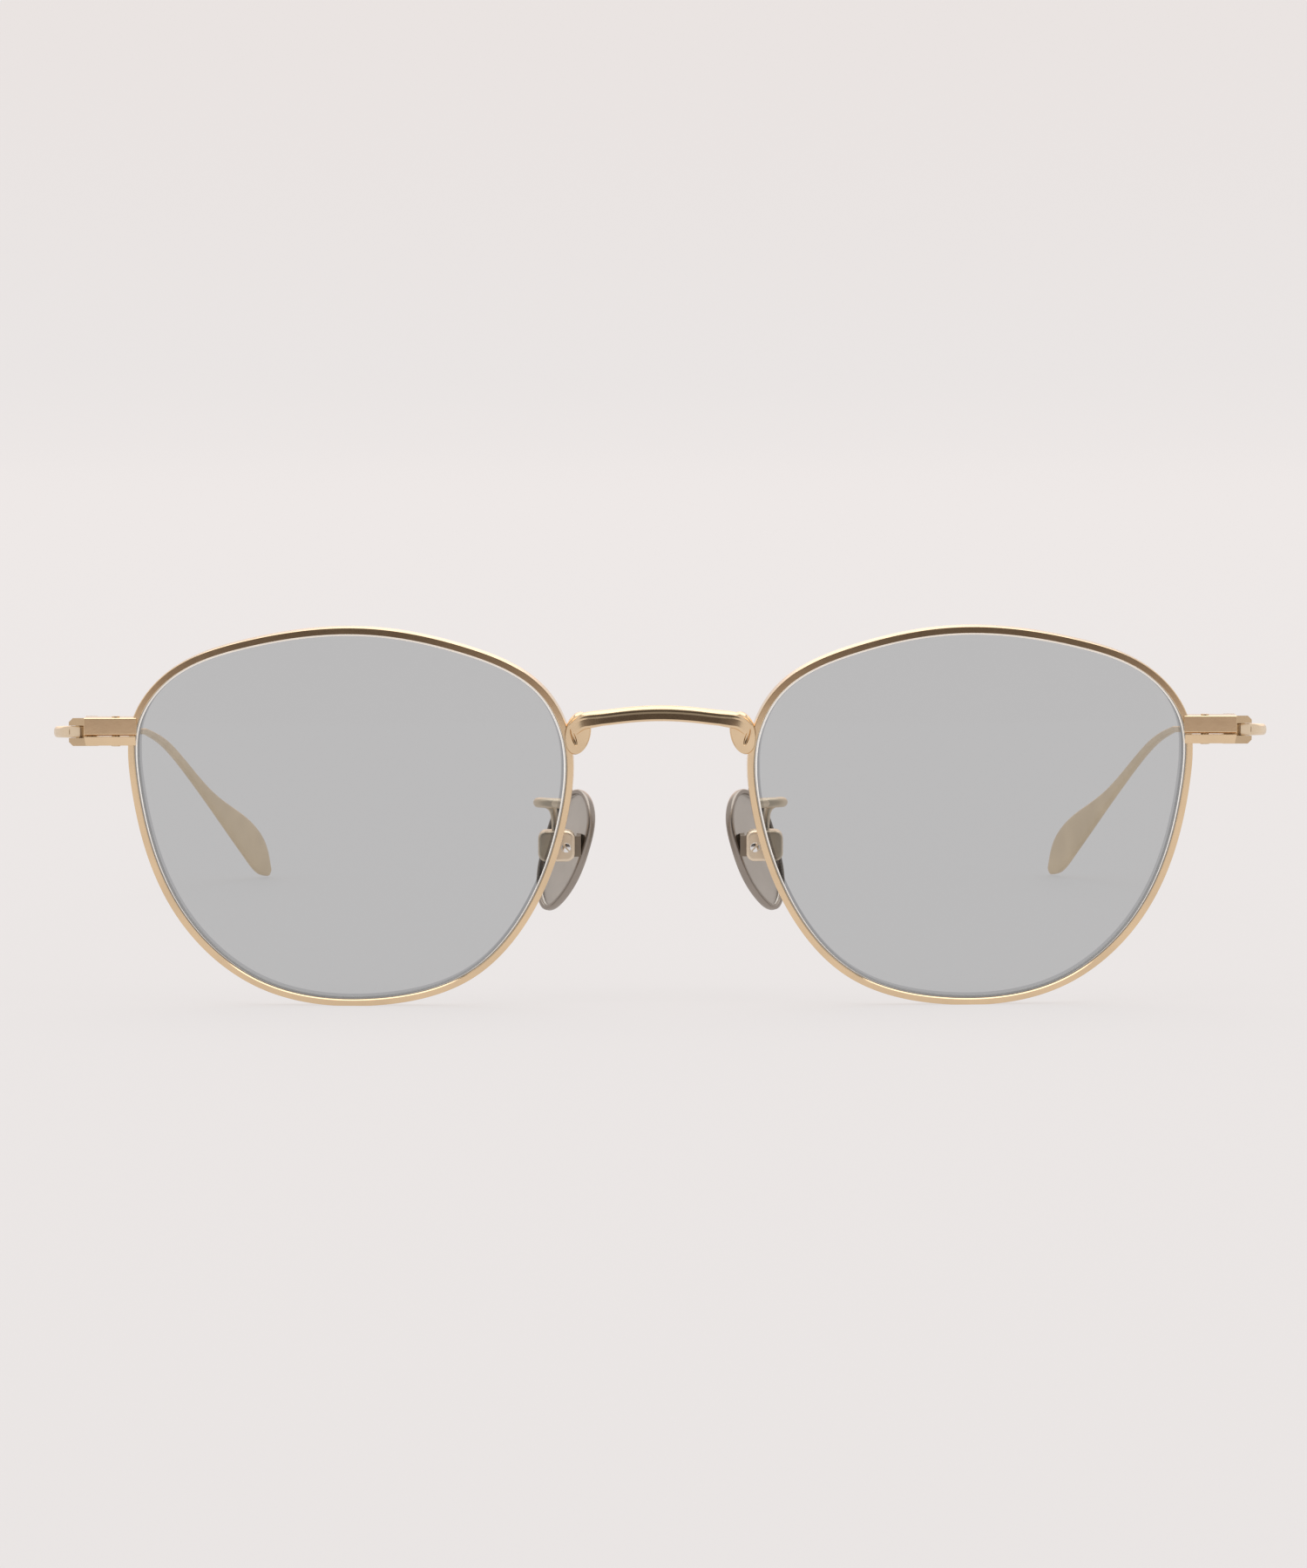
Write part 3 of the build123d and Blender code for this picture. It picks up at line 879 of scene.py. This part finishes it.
def closing_lean(right, back, top):
    """The closing block's front leans back towards its foot, and its outer end slants in."""
    slant = CLOSING_SLANT if not right and not top else 0.0
    lean = CLOSING_LEAN if not back and not top else 0.0
    return np.array((slant, lean, 0.0))


def endpiece_lean(right, back, top):
    """The upper block's front leans back a little towards its top."""
    return np.array((0.0, ENDPIECE_LEAN if not back and top else 0.0, 0.0))


def endpiece_shape():
    """The upper block and the wall behind it that the hinge is brazed to."""
    seam = ENDPIECE_SPLIT + SAW_CUT / 2
    low, high = (BLOCK_OUTER, BLOCK_FRONT, seam), (BLOCK_INNER, BLOCK_BACK, BLOCK_TOP)
    bar = soft_box(low, high, BLOCK_BEVEL, endpiece_lean, ENDPIECE_CREST, ENDPIECE_SILL)
    low = (BLOCK_OUTER, BLOCK_BACK - WALL_OVERLAP, BLOCK_BOTTOM)
    wall = soft_box(low, (WALL_INNER, WALL_BACK, BLOCK_TOP), WALL_BEVEL)
    return joined([bar, wall])


def closing_shape():
    """The lower block, clear of the wall behind it and of the seam above it."""
    low = (BLOCK_OUTER, BLOCK_FRONT, BLOCK_BOTTOM)
    high = (BLOCK_INNER - 0.1, BLOCK_BACK - 0.32, ENDPIECE_SPLIT - SAW_CUT / 2)
    return soft_box(low, high, BLOCK_BEVEL, closing_lean)


pair("endpiece", endpiece_shape(), "front", GOLD)
pair("closing_block", closing_shape(), "front", GOLD)

# ---- Pad boxes ----

BOX_X = (-13.8, -9.66)
BOX_Z = (16.0, 19.5)
BOX_CORNER = 0.95
BOX_LEVELS = [(4.3, 0.34), (4.37, 0.16), (4.52, 0.04), (4.75, 0.0), (6.8, 0.0), (7.0, 0.2)]


def rounded_block(x_range, z_range, corner, levels):
    """A round-cornered block: levels are (y, inset) pairs from its front to its back."""
    (x_low, x_high), (z_low, z_high) = x_range, z_range
    outline = []
    for x, z, start in (
        (x_high, z_high, 0),
        (x_low, z_high, 0.25),
        (x_low, z_low, 0.5),
        (x_high, z_low, 0.75),
    ):
        centre_x = x - corner if x == x_high else x + corner
        centre_z = z - corner if z == z_high else z + corner
        for step in range(9):
            angle = tau * (start + step / 32)
            cx, cz = cos(angle), sin(angle)
            outline.append((centre_x + corner * cx, centre_z + corner * cz, cx, cz))
    rings = []
    for y, inset in levels:
        rings.append([at_front(x - inset * cx, y, z - inset * cz) for x, z, cx, cz in outline])
    return loft(rings)


def pad_box():
    """The box, with the slot that the pad's lug rocks in."""
    side, back, up = np.eye(3)
    slot = bar_between(at_front(-10.3, LUG_Y, 17.45), side, up, back, 5.0, 3.4, 1.05)
    return joined([rounded_block(BOX_X, BOX_Z, BOX_CORNER, BOX_LEVELS), slot], "DIFFERENCE")


pair("pad_box", pad_box(), "front", PAD_BEIGE)

# ---- CAD pieces that only need soft edges and a finish ----


def finish_node(kind, material, edge):
    """Soft edges and a finish for a CAD piece that keeps its own mesh."""
    for side, _ in SIDES:
        node = NODES[f"{kind}_{side}"]
        node.data.materials.clear()
        node.data.materials.append(material)
        weld = node.modifiers.new("weld", "WELD")
        weld.merge_threshold = 0.002 * MM
        soft = node.modifiers.new("soft_edges", "BEVEL")
        soft.width = edge * MM
        soft.segments = 3
        soft.limit_method = "ANGLE"
        soft.angle_limit = radians(40)
        soft.harden_normals = True


# The hinge fork gets the darkened gold: painted shade for the side shade behind the endpiece.
finish_node("hinge_fork", GOLD_HINGE_PAINTED_SHADE, 0.06)

# ---- Studio: floor, lights and camera ----

FLOOR_MIDDLE_Y = 0.1
FLOOR_RADIUS = 1.25
COVE_RADIUS = 0.5
WALL_HEIGHT = 2.0
FLOOR_OPENING = radians(38)
APRON_RADIUS = 1.05
CARD_PLACE_Y = -1.3
CARD_WIDTH = 2.0
CARD_EDGES = (-0.12, 0.0, 0.05, 0.09, 0.13, 0.18, 0.24, 0.75)
CARD_GLOW = (0.5, 0.46, 0.36, 0.26, 0.17, 0.11, 0.07)
CARD_COLOUR = (1.0, 0.84, 0.76)
CAMERA_PLACE = (-0.00078, -0.8714, 0.0965)
CAMERA_PITCH = radians(5.094)
CAMERA_ROLL = radians(0.12)
CAMERA_LENS = 164.7


def glowing_floor():
    """A pale floor lit partly from below, as a light table is, so that shadows stay faint."""
    material, nodes, links, bsdf = shader("pale_floor")
    bsdf.inputs["Base Color"].default_value = (0.15, 0.144, 0.1425, 1)
    bsdf.inputs["Roughness"].default_value = 1.0
    bsdf.inputs["Specular IOR Level"].default_value = 0.0
    bsdf.inputs["Emission Color"].default_value = (1.0, 0.963, 0.952, 1)
    bsdf.inputs["Emission Strength"].default_value = 0.655
    return material


def round_floor(radius, turn, z):
    """A point round the floor's middle; a turn of zero is towards the camera."""
    return -radius * sin(turn), FLOOR_MIDDLE_Y - radius * cos(turn), z


def backdrop():
    """A pale floor that curves up into a wall all round, open in front where the dark cards stand."""
    rows = [(0.0, 0.0), (0.6, 0.0), (FLOOR_RADIUS, 0.0)]
    for angle in np.linspace(0, pi / 2, 14)[1:]:
        rows.append((FLOOR_RADIUS + COVE_RADIUS * sin(angle), COVE_RADIUS * (1 - cos(angle))))
    rows.append((FLOOR_RADIUS + COVE_RADIUS, WALL_HEIGHT))
    turns = np.linspace(FLOOR_OPENING, tau - FLOOR_OPENING, 73)
    points, faces = [], []
    for radius, z in rows:
        points += [round_floor(radius, turn, z) for turn in turns]
    width = len(turns)
    for i in range(len(rows) - 1):
        for j in range(width - 1):
            corner, above = i * width + j, (i + 1) * width + j
            faces.append((corner, corner + 1, above + 1, above))
    start = len(points)
    apron = np.linspace(-FLOOR_OPENING, FLOOR_OPENING, 17)
    points += [round_floor(0, 0, 0)] + [round_floor(APRON_RADIUS, turn, 0) for turn in apron]
    faces += [(start, start + 1 + j, start + 2 + j) for j in range(len(apron) - 1)]
    mesh = bpy.data.meshes.new("floor")
    mesh.from_pydata(points, [], faces)
    welded = bmesh.new()
    welded.from_mesh(mesh)
    bmesh.ops.remove_doubles(welded, verts=welded.verts, dist=1e-5)
    bmesh.ops.recalc_face_normals(welded, faces=welded.faces)
    welded.to_mesh(mesh)
    welded.free()
    obj = bpy.data.objects.new("floor", mesh)
    bpy.context.scene.collection.objects.link(obj)
    mesh.materials.append(glowing_floor())
    mesh.shade_smooth()


def card(name, centre, width, height, glow):
    """An evenly bright, warm-grey studio card out of the picture, seen only in reflections."""
    mesh = bpy.data.meshes.new(name)
    w, h = width / 2, height / 2
    mesh.from_pydata([(-w, 0, -h), (w, 0, -h), (w, 0, h), (-w, 0, h)], [], [(0, 1, 2, 3)])
    obj = bpy.data.objects.new(name, mesh)
    obj.location = centre
    bpy.context.scene.collection.objects.link(obj)
    material = plain(name, CARD_COLOUR, 1.0, glow=glow)
    card_shader = material.node_tree.nodes["Principled BSDF"]
    card_shader.inputs["Base Color"].default_value = (0.01, 0.01, 0.01, 1)
    mesh.materials.append(material)


def area(name, location, target, width, height, power):
    """A soft rectangular light that faces its target."""
    light = bpy.data.lights.new(name, "AREA")
    light.shape = "RECTANGLE"
    light.size = width
    light.size_y = height
    light.energy = power
    obj = bpy.data.objects.new(name, light)
    obj.location = location
    way = Vector(target) - Vector(location)
    obj.rotation_euler = way.to_track_quat("-Z", "Y").to_euler()
    bpy.context.scene.collection.objects.link(obj)


def dim_world():
    """A faint, slightly warm surround, shown without any change of tone."""
    world = bpy.data.worlds.new("studio")
    world.use_nodes = True
    surround = world.node_tree.nodes["Background"]
    surround.inputs["Color"].default_value = (1, 0.985, 0.975, 1)
    surround.inputs["Strength"].default_value = 0.3
    bpy.context.scene.world = world
    bpy.context.scene.view_settings.view_transform = "Standard"


def add_camera():
    """A long lens a little above the table, looking slightly down at the glasses."""
    data = bpy.data.cameras.new("camera")
    data.lens = CAMERA_LENS
    data.sensor_width = 36
    data.clip_start = 0.01
    data.clip_end = 20
    camera = bpy.data.objects.new("camera", data)
    aim = Matrix.Rotation(pi / 2 - CAMERA_PITCH, 4, "X") @ Matrix.Rotation(-CAMERA_ROLL, 4, "Z")
    camera.matrix_world = Matrix.Translation(CAMERA_PLACE) @ aim
    bpy.context.scene.collection.objects.link(camera)
    bpy.context.scene.camera = camera


backdrop()
for index, (low, high, glow) in enumerate(zip(CARD_EDGES, CARD_EDGES[1:], CARD_GLOW)):
    middle = (0, CARD_PLACE_Y, (low + high) / 2)
    card(f"front_card_{index}", middle, CARD_WIDTH, high - low, glow)
card("back_card", (0, 1.5, 0.8), width=2.2, height=1.0, glow=1.7)
area("overhead", (0, 0.2, 2.0), target=(0, 0.2, 0), width=2.8, height=2.8, power=42)
dim_world()
add_camera()
